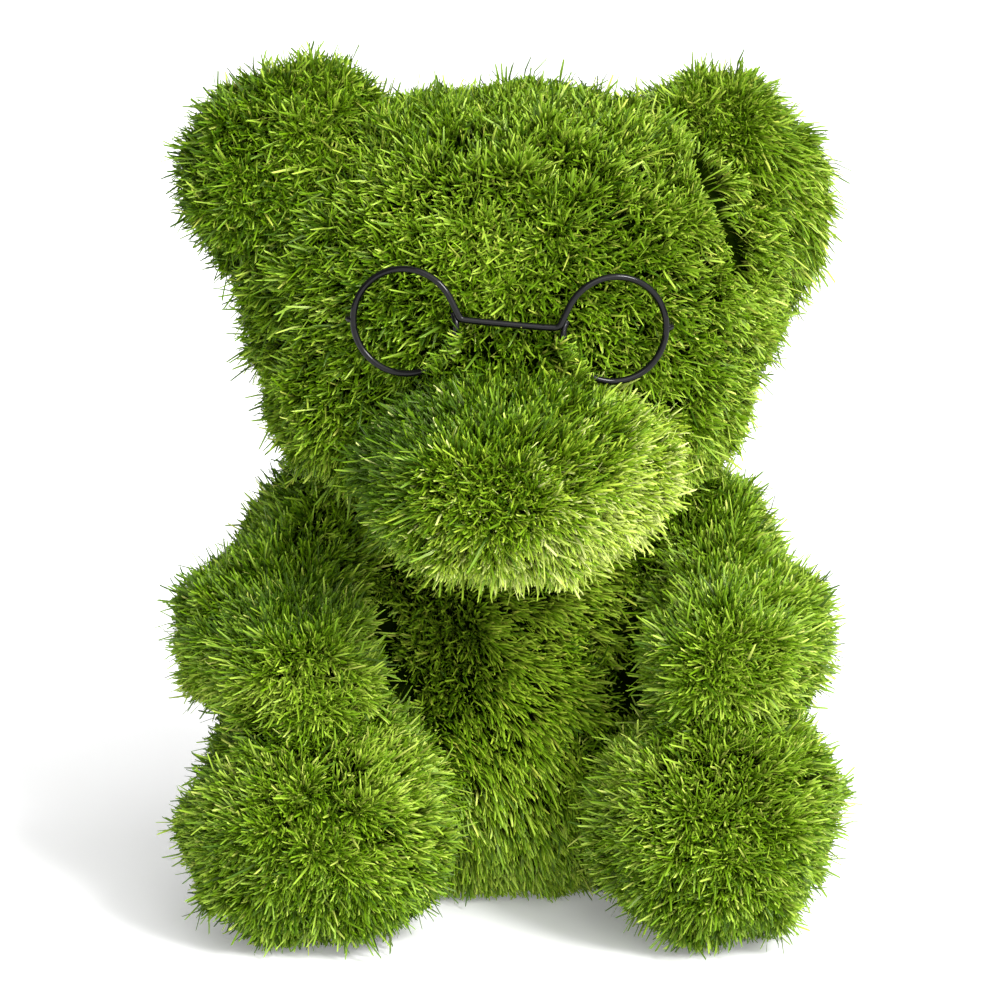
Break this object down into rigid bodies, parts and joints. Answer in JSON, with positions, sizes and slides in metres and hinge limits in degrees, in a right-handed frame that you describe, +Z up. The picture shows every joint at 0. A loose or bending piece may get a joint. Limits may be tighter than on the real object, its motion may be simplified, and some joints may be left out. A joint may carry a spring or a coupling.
{
  "type": "artificial grass bear garden ornament",
  "caption": "Sitting bear covered in artificial grass, with a wide head, round ears, a domed muzzle, stubby arms and legs, and round black wire spectacles.",
  "frame": {"origin": "on the ground, under the middle of the whole bear's width and depth", "axes": "+Z up; -Y out of the bear's face; +X to the right of someone who faces the bear"},
  "size_m": [0.37, 0.3224, 0.4667],
  "materials": {
    "turf_torso": "artificial grass, dark mixed greens",
    "turf_head": "artificial grass, mid mixed greens",
    "turf_muzzle": "artificial grass, light yellow greens",
    "turf_limbs": "artificial grass, mid mixed greens",
    "black_wire": "satin black paint on steel wire"
  },
  "bodies": {
    "root": {"torso": "turf_torso", "head": "turf_head", "muzzle": "turf_muzzle", "ear_left": "turf_head", "ear_right": "turf_head", "arm_left": "turf_limbs", "arm_right": "turf_limbs", "leg_left": "turf_limbs", "leg_right": "turf_limbs", "spectacles": "black_wire"}
  },
  "joints": []
}
